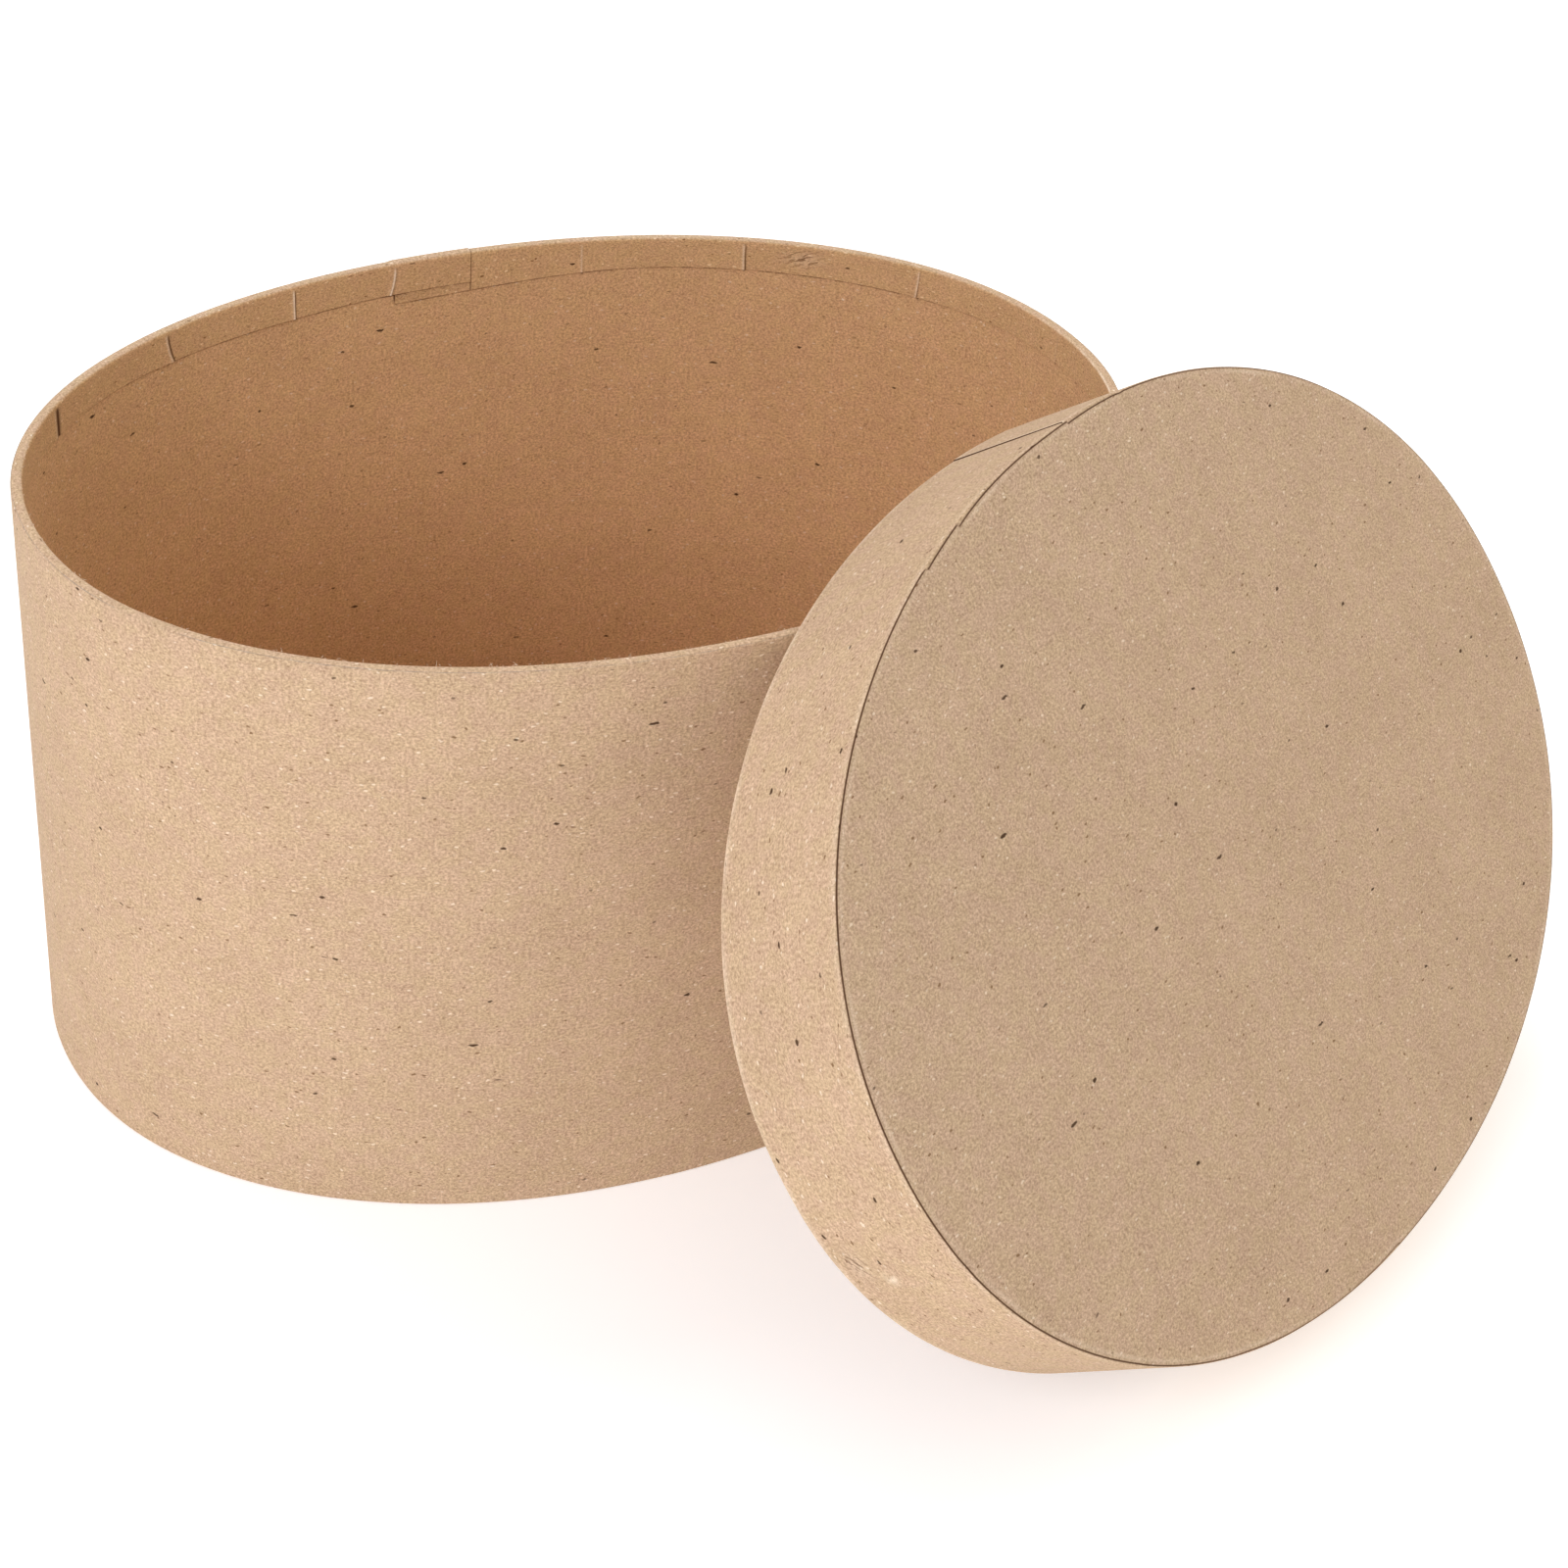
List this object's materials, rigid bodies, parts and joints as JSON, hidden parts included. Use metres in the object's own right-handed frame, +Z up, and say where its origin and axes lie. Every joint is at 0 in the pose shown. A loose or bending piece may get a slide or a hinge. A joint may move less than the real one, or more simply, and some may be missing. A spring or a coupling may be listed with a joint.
{
  "type": "hat box",
  "caption": "Oval hat box of paper-covered board with a shallow lift-off lid that leans, open side in, against the box.",
  "frame": {"origin": "centre of the flat underside of the box, on the surface it stands on", "axes": "+Z up, +X along the long axis of the box's oval, +Y along its short axis towards the side with the lapped seam of the cover paper; the lid leans on the -Y side"},
  "size_m": [0.4037, 0.365, 0.2036],
  "materials": {
    "grey_board": "matte",
    "kraft_outside": "matte",
    "kraft_inside": "matte",
    "kraft_top": "matte"
  },
  "bodies": {
    "box": {"box_wall_board": "grey_board", "box_base_board": "grey_board", "box_outer_wrap": "kraft_outside", "box_wall_liner": "kraft_inside", "box_base_liner": "kraft_inside", "box_base_cover": "kraft_outside"},
    "lid": {"lid_rim_board": "grey_board", "lid_top_board": "grey_board", "lid_rim_wrap": "kraft_outside", "lid_rim_liner": "kraft_inside", "lid_top_liner": "kraft_inside", "lid_top_cover": "kraft_top"}
  },
  "joints": [
    {"name": "lid_swing", "type": "hinge", "parent": "box", "child": "lid", "pos_m": [0.08926, 0.08301, 0.04487], "axis": [-0.8893, -0.1791, -0.4209], "range_deg": [0, 58.34]}
  ]
}
